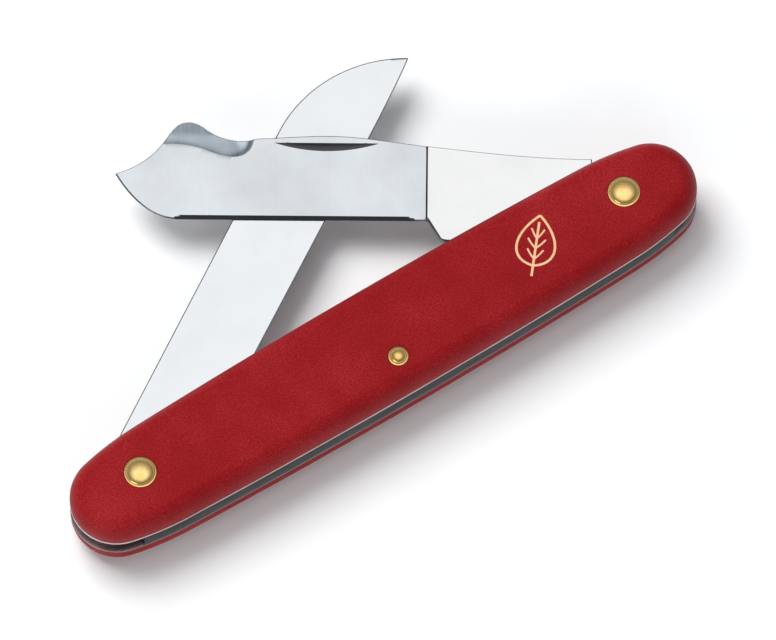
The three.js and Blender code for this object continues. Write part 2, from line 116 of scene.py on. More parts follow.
LIFTER_SLOPE = 0.11  # fall of the thinned face per millimetre from its border
LIFTER_STEP = 0.05  # height of the step down into the thinned face, next to the tip
LIFTER_WALL = 0.26  # how much higher that step is next to the notch
LIFTER_STEP_REACH = 0.4  # distance over which the step falls
LIFTER_LEAST = 0.16  # least thickness of the thinned face
EDGE_THICKNESS = 0.35
BEVEL_WIDTH = 0.55
BEVEL_START = 0.5  # from the ricasso
KEEN = 0.08
GRAFTING_TIP_GAP = 4.502
GRAFTING_SPINE_Y = 6.03
GRAFTING_EDGE_Y = -5.45
GRAFTING_EDGE_DROP = 0.3
GRAFTING_HEEL = 17.0
GRAFTING_PLUNGE = 0.16
GRAFTING_LEAST = 0.03  # least thickness, under the nick and at the edge
POINT_RADIUS = 19.5
NICK_LENGTH = 14.8
NICK_HEIGHT = 1.2
NICK_DEPTH = 0.4
NICK_WALL = 0.05  # width of the nick's steep upper wall
NICK_FROM_SPINE = 1.2
BUDDING_NICK_SHIFT = 2.2  # how far the nick lies past the crest, towards the tip
THICK_ENOUGH = 0.5  # a rim is softened fully where the blade is at least this thick
STEEP = 0.8  # a face whose normal rises less than this is an edge
BEVEL_STEEP = 0.94  # the same for the cutting bevel on the ground face
FLAT = 0.9  # a liner's face whose normal rises more than this is one of its flat sides
BOSS_RADIUS = 3.4
SLOT_GAP = 0.06  # between the two blades


# ---- places from the frame

def extent(node):
    """Lowest and highest corner of a CAD node, in millimetres."""
    low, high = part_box(node)
    return np.array(low) / MM, np.array(high) / MM


def pivot_of(joint):
    """Where a blade turns, in millimetres, and its angle from the handle's line at rest."""
    found = next(j for j in frame["joints"] if j["name"] == joint)
    return np.array(found["pos_m"][:2]) / MM, 180 - found["range_deg"][1]


scale_low, scale_high = extent("front_scale")
HALF_LENGTH = (scale_high[0] - scale_low[0]) / 2
HALF_WIDTH = (scale_high[1] - scale_low[1]) / 2
END_RADIUS = HALF_WIDTH * END_ROUNDNESS
END_CENTRE = HALF_LENGTH - END_RADIUS
SIDE_RADIUS = (HALF_LENGTH**2 + BULGE**2) / (2 * BULGE)
SIDE_CENTRE = SIDE_RADIUS - HALF_WIDTH


def corner_arc():
    """Half angle of a side arc, centre of its corner arc, and the angle where the end arc starts."""
    reach, span = SIDE_RADIUS - CORNER_RADIUS, CORNER_RADIUS - END_RADIUS
    between = math.hypot(END_CENTRE, SIDE_CENTRE)
    turn = math.acos((between**2 + reach**2 - span**2) / (2 * between * reach))
    side = math.atan2(END_CENTRE, SIDE_CENTRE) - turn
    x, y = reach * math.sin(side), reach * math.cos(side) - SIDE_CENTRE
    return side, x, y, math.atan2(END_CENTRE - x, -y)


SIDE_ANGLE, CORNER_X, CORNER_Y, END_ANGLE = corner_arc()
BUDDING_PIVOT, BUDDING_ANGLE = pivot_of("budding_blade_hinge")
GRAFTING_PIVOT, GRAFTING_ANGLE = pivot_of("grafting_blade_hinge")
PIVOT_SPACING = BUDDING_PIVOT[0] - GRAFTING_PIVOT[0]
BUDDING_TIP = PIVOT_SPACING - BUDDING_TIP_GAP
GRAFTING_TIP = PIVOT_SPACING - GRAFTING_TIP_GAP
RIVETS = ("grafting_pivot", "budding_pivot", "middle")


def in_blade(points, pivot, angle, mirrored):
    """Points of the part's frame in a blade's own axes: x to its tip and y to its spine."""
    c, s = math.cos(angle), math.sin(angle)
    x, y = points[:, 0] - pivot[0], points[:, 1] - pivot[1]
    along, across = c * x + s * y, -s * x + c * y
    return np.column_stack([-along if mirrored else along, across])


def in_part(points, pivot, angle, mirrored):
    """The other way round: points in a blade's own axes, in the part's frame."""
    c, s = math.cos(angle), math.sin(angle)
    x = -points[:, 0] if mirrored else points[:, 0]
    y = points[:, 1]
    return np.column_stack([pivot[0] + c * x - s * y, pivot[1] + s * x + c * y])


def tang_reach():
    """How far a tang reaches behind its pivot."""
    node = frame["nodes"]["budding_blade"]
    points = np.array([v.co[:2] for v in node.data.vertices]) / MM
    return -in_blade(points, BUDDING_PIVOT, -math.radians(BUDDING_ANGLE), True)[:, 0].min()


TANG_RADIUS = tang_reach()


# ---- outlines

def arc(centre, radius, start, end, steps):
    angles = np.linspace(start, end, steps)
    return np.stack([centre[0] + radius * np.cos(angles), centre[1] + radius * np.sin(angles)], 1)


def bezier(*points):
    """A quadratic or cubic curve, with points about CURVE_SPACING apart."""
    control = np.array(points, float)
    length = np.linalg.norm(np.diff(control, axis=0), axis=1).sum()
    t = np.linspace(0, 1, max(3, int(length / CURVE_SPACING)))[:, None]
    while len(control) > 1:
        if control.ndim == 2:
            control = control[:, None, :]
        control = control[:-1] * (1 - t) + control[1:] * t
    return control[0]


def line(start, end):
    return bezier(start, end)


def join(*stretches):
    """One closed outline from stretches that follow each other, with no point twice."""
    points = np.concatenate(stretches)
    step = np.linalg.norm(points - np.roll(points, 1, axis=0), axis=1)
    return points[step > 1e-4]


def handle_outline(inset=0.0):
    """Side, corner and end arcs of the handle, moved in by inset."""
    quarter = math.pi / 2
    side, corner, end = SIDE_RADIUS - inset, CORNER_RADIUS - inset, END_RADIUS - inset
    stretches = []
    for turn, across in ((-quarter, -1), (quarter, 1)):
        before = (across * CORNER_X, across * CORNER_Y)
        middle = (0, -across * SIDE_CENTRE)
        after = (-across * CORNER_X, across * CORNER_Y)
        cap = (-across * END_CENTRE, 0)
        stretches += [
            arc(before, corner, turn - END_ANGLE, turn - SIDE_ANGLE, CORNER_STEPS),
            arc(middle, side, turn - SIDE_ANGLE, turn + SIDE_ANGLE, SIDE_STEPS),
            arc(after, corner, turn + SIDE_ANGLE, turn + END_ANGLE, CORNER_STEPS),
            arc(cap, end, turn + END_ANGLE, turn + 2 * quarter - END_ANGLE, END_STEPS),
        ]
    return join(*stretches)


def tang_outline(spine_y):
    """From the ricasso's lower side round the pivot to the start of the spine."""
    flat_y = TANG_RADIUS - TANG_FLAT_DEPTH
    flat_angle = math.asin(flat_y / TANG_RADIUS)
    flat_x = TANG_RADIUS * math.cos(flat_angle)
    return join(
        line((0, -flat_y), (-flat_x, -flat_y)),
        arc((0, 0), TANG_RADIUS, math.pi + flat_angle, math.pi - flat_angle, 60),
        line((-flat_x, flat_y), (SHOULDER_X, flat_y)),
        line((SHOULDER_X, flat_y), (SHOULDER_X, spine_y)),
    )


def belly_curve():
    """The budding blade's curved edge, from its tip to where the straight edge begins."""
    tip = (BUDDING_TIP, TIP_Y)
    start = (BUDDING_TIP - BELLY_LENGTH, BUDDING_EDGE_Y)
    return bezier(tip, (tip[0] - 1.5, TIP_Y - 2.6), (tip[0] - 4.6, BUDDING_EDGE_Y), start)


def budding_outline():
    """Kick, tang, spine with its crest, notch, bark lifter, belly and edge, in the blade's own axes."""
    tip = BUDDING_TIP
    notch = tip - LIFTER_LENGTH
    notch_y = CREST_Y - 0.6
    crest = (RICASSO + notch) / 2
    top = tip - LIFTER_TOP_FROM_TIP
    foot, foot_y = tip - 7.0, TIP_Y + 5.3
    kick = RICASSO - 2.9
    crest_point = (crest, CREST_Y)
    notch_point = (notch, notch_y)
    hump_start = (notch + 7, notch_y + 1.4)
    hump_top = (top, LIFTER_TOP_Y)
    rise = bezier((SHOULDER_X, BUDDING_SPINE_Y), (SHOULDER_X + 9.5, BUDDING_SPINE_Y),
                  (crest - 15.5, CREST_Y - 2.05), crest_point)
    fall = bezier(crest_point, (crest + 2, CREST_Y), notch_point)
    before = np.flatnonzero(rise[:, 0] < crest - CREST_EASE)[-1]
    after = np.flatnonzero(fall[:, 0] > crest + CREST_EASE)[0]
    return join(
        line((RICASSO, BUDDING_EDGE_Y), (kick + 1.3, KICK_Y + 0.7)),
        bezier((kick + 1.3, KICK_Y + 0.7), (kick + 1.1, KICK_Y), (kick, KICK_Y)),
        line((kick, KICK_Y), (0, -TANG_RADIUS + TANG_FLAT_DEPTH)),
        tang_outline(BUDDING_SPINE_Y),
        rise[:before + 1],
        bezier(tuple(rise[before]), crest_point, tuple(fall[after])),
        fall[after:],
        bezier(notch_point, (notch + 3.1, notch_y - 0.5), (notch + 5, notch_y), hump_start),
        bezier(hump_start, (top - 1.2, LIFTER_TOP_Y), hump_top),
        bezier(hump_top, (top + 1.4, LIFTER_TOP_Y), (foot - 1.1, foot_y + 1.75), (foot, foot_y)),
        bezier((foot, foot_y), (foot + 1.6, foot_y - 2.55), (tip - 3.4, TIP_Y + 1.15), (tip, TIP_Y)),
        belly_curve(),
        line((tip - BELLY_LENGTH, BUDDING_EDGE_Y), (RICASSO, BUDDING_EDGE_Y)),
    )


def lifter_border():
    """Where the bark lifter's thinned face meets the blade's ground face, from the notch to the tip."""
    notch = BUDDING_TIP - LIFTER_LENGTH
    return join(
        bezier((notch + 0.4, CREST_Y - 0.4), (notch + 0.7, CREST_Y - 4.3),
               (notch + 4.2, CREST_Y - 3.6), (notch + 7, CREST_Y - 2.4)),
        bezier((notch + 7, CREST_Y - 2.4), (notch + 10.4, CREST_Y - 1.1),
               (BUDDING_TIP - 5.6, CREST_Y - 1.7)),
    )


def lifter_zone():
    """The thinned face and the space behind the spine, as one closed outline."""
    border = lifter_border()
    foot, wall, far = tuple(border[-1]), tuple(border[0]), CREST_Y + 8
    return join(border, line(foot, (foot[0], far)), line((foot[0], far), (wall[0], far)),
                line((wall[0], far), wall))


def grafting_outline():
    """Heel, tang, straight spine, rounded point and edge, in the blade's own axes."""
    tip, tip_y = GRAFTING_TIP, GRAFTING_EDGE_Y
    turn = tip - math.sqrt(POINT_RADIUS**2 - (POINT_RADIUS - GRAFTING_SPINE_Y + tip_y) ** 2)
    turn_angle = math.asin((tip - turn) / POINT_RADIUS)
    low_y = tip_y - GRAFTING_EDGE_DROP
    return join(
        line((GRAFTING_HEEL, tip_y), (GRAFTING_HEEL - 2, tip_y)),
        line((GRAFTING_HEEL - 2, tip_y), (0, -TANG_RADIUS + TANG_FLAT_DEPTH)),
        tang_outline(GRAFTING_SPINE_Y),
        line((SHOULDER_X, GRAFTING_SPINE_Y), (turn, GRAFTING_SPINE_Y)),
        arc((turn, GRAFTING_SPINE_Y - POINT_RADIUS), POINT_RADIUS, math.pi / 2,
            math.pi / 2 - turn_angle, 100),
        bezier((tip, tip_y), (tip - 3, low_y), (tip - 12, low_y)),
        line((tip - 12, low_y), (GRAFTING_HEEL, tip_y)),
    )


# ---- mesh helpers

def linked(name, data):
    """A new object in the scene."""
    obj = bpy.data.objects.new(name, data)
    bpy.context.scene.collection.objects.link(obj)
    return obj


def new_object(name, verts, faces, sharp_degrees=30):
    """A mesh object from points in millimetres, smooth except at edges sharper than the angle."""
    mesh = bpy.data.meshes.new(name)
    mesh.from_pydata([tuple(MM * np.array(v, float)) for v in verts], [], faces)
    return finish_mesh(name, mesh, sharp_degrees)


def finish_mesh(name, mesh, sharp_degrees=30):
    """An object with the mesh, its double points joined and its faces turned outwards."""
    clean = bmesh.new()
    clean.from_mesh(mesh)
    bmesh.ops.remove_doubles(clean, verts=clean.verts, dist=1e-7)
    bmesh.ops.recalc_face_normals(clean, faces=clean.faces)
    clean.to_mesh(mesh)
    clean.free()
    mesh.shade_smooth()
    mesh.set_sharp_from_angle(angle=math.radians(sharp_degrees))
    return linked(name, mesh)


def baked(obj, sharp_degrees=30):
    """The object with its modifiers made into its own mesh."""
    graph = bpy.context.evaluated_depsgraph_get()
    mesh = bpy.data.meshes.new_from_object(obj.evaluated_get(graph))
    name = obj.name
    bpy.data.objects.remove(obj)
    return finish_mesh(name, mesh, sharp_degrees)


def loft(rings):
    """Vertices and faces of a closed body through rings of equal length, with flat ends."""
    count = len(rings[0])
    verts = [tuple(p) for ring in rings for p in ring]
    faces = []
    for r in range(len(rings) - 1):
        for i in range(count):
            j = (i + 1) % count
            faces.append((r * count + i, r * count + j, (r + 1) * count + j, (r + 1) * count + i))
    faces.append(tuple(range(count)))
    faces.append(tuple((len(rings) - 1) * count + i for i in range(count)))
    return verts, faces


def ring_at(outline, level):
    return np.column_stack([outline, np.full(len(outline), level)])


def turned(name, profile, centre, sharp_degrees=30):
    """A body turned about the vertical line through centre, from a closed or axis-to-axis profile."""
    angles = np.arange(ROUND_STEPS) * 2 * math.pi / ROUND_STEPS
    verts, faces, rows = [], [], []
    for radius, level in profile:
        if radius < 1e-6:
            rows.append([len(verts)] * ROUND_STEPS)
            verts.append((centre[0], centre[1], level))
        else:
            rows.append(list(range(len(verts), len(verts) + ROUND_STEPS)))
            verts += [(centre[0] + radius * math.cos(a), centre[1] + radius * math.sin(a), level)
                      for a in angles]
    open_rows = 0 if profile[0][0] > 1e-6 else 1
    for k in range(len(rows) - open_rows):
        lower, upper = rows[k], rows[(k + 1) % len(rows)]
        for i in range(ROUND_STEPS):
            j = (i + 1) % ROUND_STEPS
            corners = list(dict.fromkeys([lower[i], lower[j], upper[j], upper[i]]))
            if len(corners) > 2:
                faces.append(tuple(corners))
    return new_object(name, verts, faces, sharp_degrees)


def cut(obj, cutters, sharp_degrees=30):
    """The object less its cutters, which are used up."""
    for cutter in cutters:
        change = obj.modifiers.new("cut", "BOOLEAN")
        change.operation = "DIFFERENCE"
        change.solver = "EXACT"
        change.object = cutter
    result = baked(obj, sharp_degrees)
    for cutter in cutters:
        bpy.data.objects.remove(cutter)
    return result


def bevelled(obj, width, sharp_degrees=30):
    """The object with its hard edges rounded off."""
    change = obj.modifiers.new("soft_edges", "BEVEL")
    change.width = width * MM
    change.segments = 3
    change.limit_method = "ANGLE"
    change.angle_limit = math.radians(40)
    change.harden_normals = False
    return baked(obj, sharp_degrees)


# ---- distances in a blade's plane

def distance_to(points, path, closed=False):
    """Shortest distance from each point to a polyline."""
    ends = np.roll(path, -1, axis=0) if closed else path[1:]
    starts = path if closed else path[:-1]
    best = np.full(len(points), np.inf)
    for start, end in zip(starts, ends):
        along = end - start
        share = np.clip(((points - start) @ along) / max(along @ along, 1e-12), 0, 1)
        best = np.minimum(best, np.linalg.norm(points - start - share[:, None] * along, axis=1))
    return best


def inside(points, outline):
    """Whether each point lies inside a closed outline."""
    result = np.zeros(len(points), bool)
    for (x1, y1), (x2, y2) in zip(outline, np.roll(outline, -1, axis=0)):
        if abs(y1 - y2) < 1e-12:
            continue
        crosses = (y1 > points[:, 1]) != (y2 > points[:, 1])
        result ^= crosses & (points[:, 0] < (x2 - x1) * (points[:, 1] - y1) / (y2 - y1) + x1)
    return result


def shifted(path, distance):
    """A polyline moved sideways, to the left of its direction."""
    along = np.gradient(path, axis=0)
    along /= np.linalg.norm(along, axis=1)[:, None]
    return path + distance * np.column_stack([-along[:, 1], along[:, 0]])


def smooth(value, low, high):
    """Rises from 0 at low to 1 at high, level at both ends."""
    t = np.clip((value - low) / (high - low), 0, 1)
    return t * t * (3 - 2 * t)


def in_sheet(points, outline, holes):
    """Whether each point lies inside the outline and outside its holes."""
    result = inside(points, outline)
    for hole in holes:
        result &= ~inside(points, hole)
    return result


def blade_sheet(outline, features, holes):
    """Triangles that fill a blade's outline, with points along its features and its softened rim."""
    loops = [outline, *holes]
    rims, edges = [], []
    start = 0
    for loop in loops:
        closed = np.concatenate([loop[-1:], loop, loop[:1]])
        for distance in (RIM_BEVEL, 2.5 * RIM_BEVEL):
            rims += [shifted(closed, side * distance)[1:-1] for side in (1, -1)]
        edges += [(start + i, start + (i + 1) % len(loop)) for i in range(len(loop))]
        start += len(loop)
    extra = np.concatenate(rims + features)
    xs = np.arange(outline[:, 0].min(), outline[:, 0].max(), GRID)
    ys = np.arange(outline[:, 1].min(), outline[:, 1].max(), GRID)
    grid = np.stack(np.meshgrid(xs, ys), -1).reshape(-1, 2)
    grid = grid[distance_to(grid, np.concatenate(features + [outline]), True) > GRID_GAP]
    extra = np.concatenate([extra, grid])
    gap = np.min([distance_to(extra, loop, True) for loop in loops], axis=0)
    extra = extra[in_sheet(extra, outline, holes) & (gap > 0.8 * RIM_BEVEL)]
    order = np.unique(np.round(extra / LEAST_SPACING).astype(int), axis=0, return_index=True)[1]
    every = np.concatenate([*loops, extra[np.sort(order)]])
    made = delaunay_2d_cdt([Vector(p) for p in every], edges, [], 0, 1e-5)
    points = np.array([tuple(v) for v in made[0]])
    triangles = [tuple(f) for f in made[2]]
    middles = np.array([points[list(t)].mean(axis=0) for t in triangles])
    solid = in_sheet(middles, outline, holes)
    return points, [t for t, kept in zip(triangles, solid) if kept]


def rim_drop(distance):
    """How far a face falls at its softened rim."""
    t = np.clip(1 - distance / RIM_BEVEL, 0, 1)
    return RIM_BEVEL * (1 - np.sqrt(np.clip(1 - t**2, 0, 1)))


def blade_body(name, sheet, front, back, pivot, angle, mirrored, sharp_degrees=16):
    """A closed blade from its triangulated sheet and the level of each point on either face."""
    points, triangles = sheet
    points = in_part(points, pivot, angle, mirrored)
    count = len(points)
    verts = np.concatenate([np.column_stack([points, front]), np.column_stack([points, back])])
    sides = dict.fromkeys((a, b) for t in triangles for a, b in zip(t, t[1:] + t[:1]))
    faces = list(triangles) + [tuple(count + i for i in reversed(t)) for t in triangles]
    faces += [(b, a, count + a, count + b) for a, b in sides if (b, a) not in sides]
    return new_object(name, verts, faces, sharp_degrees)


# ---- handle pieces

def scale_piece(name, node, direction):
    """A handle scale: a straight land, a rounded shoulder and a flat face, recessed for washers."""
    low, high = extent(node)
    inner, face = (low[2], high[2]) if direction > 0 else (high[2], low[2])
    rise = high[2] - low[2] - SCALE_LAND
    rings = [ring_at(handle_outline(RECESS_CHAMFER), inner)]
    rings.append(ring_at(handle_outline(), inner + direction * RECESS_CHAMFER))
    for k in range(SHOULDER_STEPS + 1):
        angle = math.pi / 2 * k / SHOULDER_STEPS
        inset = SCALE_SHOULDER * (1 - math.cos(angle))
        level = inner + direction * (SCALE_LAND + rise * math.sin(angle))
        rings.append(ring_at(handle_outline(inset), level))
    piece = new_object(name, *loft(rings))
    cutters = []
    for rivet in RIVETS:
        side = "front" if direction > 0 else "back"
        washer_low, washer_high = extent(f"{rivet}_{side}_washer")
        centre = (washer_low + washer_high)[:2] / 2
        radius = (washer_high - washer_low)[0] / 2 + WASHER_CLEARANCE
        mouth = radius + 2 * RECESS_CHAMFER
        seat = washer_low[2] if direction > 0 else washer_high[2]
        top = face + direction * OVERCUT
        cutters.append(turned("recess", [
            (0, seat), (radius, seat), (radius, face - direction * RECESS_CHAMFER),
            (mouth, face + direction * RECESS_CHAMFER), (mouth, top), (0, top),
        ], centre))
        pin = pin_radius(rivet) + PIN_CLEARANCE
        start, end = inner - direction * OVERCUT, seat + direction * BORE_OVERLAP
        cutters.append(turned("bore", [(0, start), (pin, start), (pin, end), (0, end)], centre))
    piece = cut(piece, cutters)
    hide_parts(node)
    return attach(piece, "handle")


def pin_radius(rivet):
    """Radius of a rivet's pin: the washer's bore less its clearance."""
    points = np.array([v.co[:2] for v in frame["nodes"][f"{rivet}_front_washer"].data.vertices]) / MM
    low, high = extent(f"{rivet}_front_washer")
    return np.linalg.norm(points - (low + high)[:2] / 2, axis=1).min() - PIN_CLEARANCE


def rivet_centre(rivet):
    low, high = extent(f"{rivet}_rivet")
    return (low + high)[:2] / 2


def rounded_edge(width, low, high):
    """Inset and level of the points that round off a plate's two edges."""
    steps = ((width, 0), (width * ROUND_SHARE, width * ROUND_SHARE), (0, width))
    lower = [(inset, low + rise) for inset, rise in steps]
    return lower + [(inset, high - rise) for inset, rise in reversed(steps)]


def liner_piece(name, node):
    """A steel liner: the handle's outline with rounded edges, bored for the rivets."""
    low, high = extent(node)
    rings = [ring_at(handle_outline(inset), level)
             for inset, level in rounded_edge(LINER_BEVEL, low[2], high[2])]
    piece = new_object(name, *loft(rings))
    bores = []
    for rivet in RIVETS:
        radius = pin_radius(rivet) + PIN_CLEARANCE
        start, end = low[2] - OVERCUT, high[2] + OVERCUT
        bores.append(turned("bore", [(0, start), (radius, start), (radius, end), (0, end)],
                            rivet_centre(rivet)))
    piece = cut(piece, bores)
    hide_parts(node)
    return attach(piece, "handle")


def spring_piece():
    """The back spring, from its CAD solid with its edges broken."""
    source = frame["nodes"]["back_spring"]
    piece = linked("back_spring_bar", source.data.copy())
    piece.data.materials.clear()
    flat = bmesh.new()
    flat.from_mesh(piece.data)
    bmesh.ops.remove_doubles(flat, verts=flat.verts, dist=1e-6)
    bmesh.ops.dissolve_limit(flat, angle_limit=math.radians(0.5), verts=flat.verts, edges=flat.edges)
    flat.to_mesh(piece.data)
    flat.free()
    piece = bevelled(piece, SPRING_BEVEL)
    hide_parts("back_spring")
    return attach(piece, "handle")


def rivet_piece(rivet):
    """A rivet with a domed head at each end, whose rim turns down to its washer."""
    low, high = extent(f"{rivet}_rivet")
    face_low = extent("back_scale")[0][2]
    face_high = extent("front_scale")[1][2]
    head = (high - low)[0] / 2
    dome = high[2] - face_high - HEAD_LIP
    upper = []
    for k in range(DOME_STEPS + 1):
        angle = math.pi / 2 * k / DOME_STEPS
        upper.append((head * math.sin(angle), HEAD_LIP + dome * math.cos(angle) ** DOME_POWER))
    upper += [(head, HEAD_ROUND), (head - HEAD_ROUND, 0.0)]
    pin = pin_radius(rivet)
    profile = [(r, face_low - h) for r, h in upper] + [(pin, face_low), (pin, face_high)]
    profile += [(r, face_high + h) for r, h in reversed(upper)]
    piece = turned(f"{rivet}_pin", profile, rivet_centre(rivet), 40)
    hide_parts(f"{rivet}_rivet")
    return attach(piece, "handle")


def washer_piece(rivet, side):
    node = f"{rivet}_{side}_washer"
    low, high = extent(node)
    outer = (high - low)[0] / 2
    bore = pin_radius(rivet) + PIN_CLEARANCE
    edge = [(outer - inset, level) for inset, level in rounded_edge(WASHER_BEVEL, low[2], high[2])]
    profile = [(bore, low[2]), *edge, (bore, high[2])]
    piece = turned(f"{rivet}_{side}_ring", profile, rivet_centre(rivet), 40)
    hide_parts(node)
    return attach(piece, "handle")


# ---- blades

def circle(radius):
    return arc((0, 0), radius, 0, 2 * math.pi * (1 - 1 / ROUND_STEPS), ROUND_STEPS)


def nick_lines(centre_x, upper_y):
    """Outline of a nail nick, straight above and curved below, and its sweep's centre and radius."""
    sweep = (NICK_LENGTH**2 / 4 + NICK_HEIGHT**2) / (2 * NICK_HEIGHT)
    half = math.asin(NICK_LENGTH / 2 / sweep)
    centre = (centre_x, upper_y - NICK_HEIGHT + sweep)
    below = arc(centre, sweep, -math.pi / 2 - half, -math.pi / 2 + half, 90)
    above = line((centre_x - NICK_LENGTH / 2, upper_y), (centre_x + NICK_LENGTH / 2, upper_y))
    return below, above, centre, sweep


def budding_nick():
    """Middle and upper line of the budding blade's nail nick."""
    middle = (RICASSO + BUDDING_TIP - LIFTER_LENGTH) / 2 + BUDDING_NICK_SHIFT
    return middle, CREST_Y - NICK_FROM_SPINE


def grafting_nick():
    """Middle and upper line of the grafting blade's nail nick."""
    return GRAFTING_TIP / 2, GRAFTING_SPINE_Y - NICK_FROM_SPINE


def nick_zone(centre_x, upper_y):
    below, above, _, _ = nick_lines(centre_x, upper_y)
    return np.concatenate([below, above[::-1]])


def nick_features(centre_x, upper_y):
    """Lines along the nick's borders and its sloping floor."""
    below, above, _, _ = nick_lines(centre_x, upper_y)
    return [below, above, above - np.array([0, 0.06]), shifted(below, 0.3), shifted(below, 0.6)]


def nick_depth(points, centre_x, upper_y):
    """Depth of the nail nick at each point: none at its curved side, full at its straight wall."""
    _, _, centre, sweep = nick_lines(centre_x, upper_y)
    rise = sweep - np.linalg.norm(points - np.array(centre), axis=1)
    wall = smooth(upper_y - points[:, 1], 0, NICK_WALL)
    return NICK_DEPTH * np.clip(rise / NICK_HEIGHT, 0, 1) * wall * (points[:, 1] < upper_y)


def place_blade(piece, node, body):
    """Hides the blade's CAD node and attaches the finished blade to its body."""
    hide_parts(node)
    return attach(piece, body)


def tang_boss(name, pivot, base, top, body):
    """Round boss that keeps a blade's tang centred in the slot, bored for the pivot."""
    bore = pin_radius("budding_pivot") + PIN_CLEARANCE
    soft = RIM_BEVEL / 2
    boss = turned(name, [(bore, base), (BOSS_RADIUS - soft, base), (BOSS_RADIUS, base + soft),
                         (BOSS_RADIUS, top - soft), (BOSS_RADIUS - soft, top), (bore, top)], pivot)
    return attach(boss, body)


def budding_blade():
    """Front face ground from the plunge to the tip, with a nail nick and a thinned bark lifter."""
    low, high = extent("budding_blade")
    slot_low, top = low[2], high[2]
    thickness = (high[2] - low[2] - SLOT_GAP) / 2
    base = top - thickness
    bore = circle(pin_radius("budding_pivot") + PIN_CLEARANCE)
    outline = budding_outline()
    border = lifter_border()
    notch = BUDDING_TIP - LIFTER_LENGTH
    bevel_y = BUDDING_EDGE_Y + BEVEL_WIDTH
    bevel_end = BUDDING_TIP - BELLY_LENGTH
    plunge_lines = [line((RICASSO + across, BUDDING_EDGE_Y - 1), (RICASSO + across, CREST_Y))
                    for across in (0, PLUNGE, BEVEL_START)]
    bevel_lines = [line((RICASSO + BEVEL_START, bevel_y + above), (bevel_end + 3, bevel_y + above))
                   for above in (0, 0.05, -0.25)]
    border_lines = [shifted(border, d) for d in (0.08, 0.25, 0.5, 0.8, 1.2, 1.7, 2.3)]
    features = [*plunge_lines, *bevel_lines, *nick_features(*budding_nick()), border, *border_lines]
    sheet = blade_sheet(outline, features, [bore])
    points = sheet[0]
    x, y = points.T
    slope = (thickness - EDGE_THICKNESS) / (CREST_Y - bevel_y)
    ground = slope * np.clip(CREST_Y - y, 0, None) * smooth(x, RICASSO, RICASSO + PLUNGE)
    front = thickness - ground
    # the cutting bevel fades in past the ricasso and out at the belly
    taper = smooth(x, RICASSO + 0.3, RICASSO + 3) * (1 - smooth(x, bevel_end - 1, bevel_end + 2.5))
    edge_line = KEEN + (EDGE_THICKNESS - KEEN) * (y - BUDDING_EDGE_Y) / BEVEL_WIDTH
    bevel = np.where(y < bevel_y, edge_line, np.inf)
    front = np.minimum(front, np.where(taper > 0.02, bevel + (1 - taper) * EDGE_THICKNESS, np.inf))
    front -= nick_depth(points, *budding_nick())
    depth_in = distance_to(points, border) * inside(points, lifter_zone())
    step = LIFTER_STEP + LIFTER_WALL * (1 - smooth(x, notch + 0.8, notch + 4.2))
    front -= LIFTER_SLOPE * depth_in + step * (1 - np.exp(-depth_in / LIFTER_STEP_REACH))
    front = np.where(depth_in > 0, np.maximum(front, LIFTER_LEAST), front)
    rim = np.minimum(distance_to(points, outline, True), distance_to(points, bore, True))
    edge = distance_to(points, np.array([(bevel_end, BUDDING_EDGE_Y), (RICASSO, BUDDING_EDGE_Y)]))
    drop = rim_drop(rim) * smooth(edge, 0.0, 0.3)
    face = base + front - drop * np.clip(front / THICK_ENOUGH, 0, 1)
    angle = -math.radians(BUDDING_ANGLE)
    piece = blade_body("budding_blade_steel", sheet, face, base + drop, BUDDING_PIVOT, angle, True)
    place_blade(piece, "budding_blade", "budding_blade")
    return piece, tang_boss("budding_tang_boss", BUDDING_PIVOT, slot_low, base, "budding_blade")


def grafting_blade():
    """Flat front face; the grind and the nail nick are on the back."""
    low, high = extent("grafting_blade")
    base = low[2]
    thickness = (high[2] - low[2] - SLOT_GAP) / 2
    bore = circle(pin_radius("grafting_pivot") + PIN_CLEARANCE)
    outline = grafting_outline()
    low_y = GRAFTING_EDGE_Y - GRAFTING_EDGE_DROP
    plunge_lines = [line((GRAFTING_HEEL + across, low_y - 1), (GRAFTING_HEEL + across, GRAFTING_SPINE_Y))
                    for across in (0, GRAFTING_PLUNGE)]
    sheet = blade_sheet(outline, [*plunge_lines, *nick_features(*grafting_nick())], [bore])
    points = sheet[0]
    x, y = points.T
    slope = (thickness - KEEN) / (GRAFTING_SPINE_Y - low_y)
    ground = slope * np.clip(GRAFTING_SPINE_Y - y, 0, None)
    ground *= smooth(x, GRAFTING_HEEL, GRAFTING_HEEL + GRAFTING_PLUNGE)
    rim = np.minimum(distance_to(points, outline, True), distance_to(points, bore, True))
    soft = rim_drop(rim) * np.clip((thickness - ground) / THICK_ENOUGH, 0, 1)
    back = base + ground + nick_depth(points, *grafting_nick()) + soft * 0.5
    front = np.maximum(base + thickness - soft * 0.5, back + GRAFTING_LEAST)
    angle = math.radians(GRAFTING_ANGLE)
    piece = blade_body("grafting_blade_steel", sheet, front, back, GRAFTING_PIVOT, angle, False)
    place_blade(piece, "grafting_blade", "grafting_blade")
    boss = tang_boss("grafting_tang_boss", GRAFTING_PIVOT, base + thickness, high[2], "grafting_blade")
    return piece, boss


# ---- materials

def new_material(name, color, metallic, roughness):
    material = bpy.data.materials.new(name)
    material.use_nodes = True
    shader = material.node_tree.nodes["Principled BSDF"]
    shader.inputs["Base Color"].default_value = (*color, 1)
    shader.inputs["Metallic"].default_value = metallic
    shader.inputs["Roughness"].default_value = roughness
    return material, material.node_tree, shader


def add(tree, kind, **values):
    """A new shader node, with its inputs or settings given by name."""
    node = tree.nodes.new(kind)
    for key, value in values.items():
        if key in node.inputs:
            node.inputs[key].default_value = value
        else:
            setattr(node, key, value)
    return node


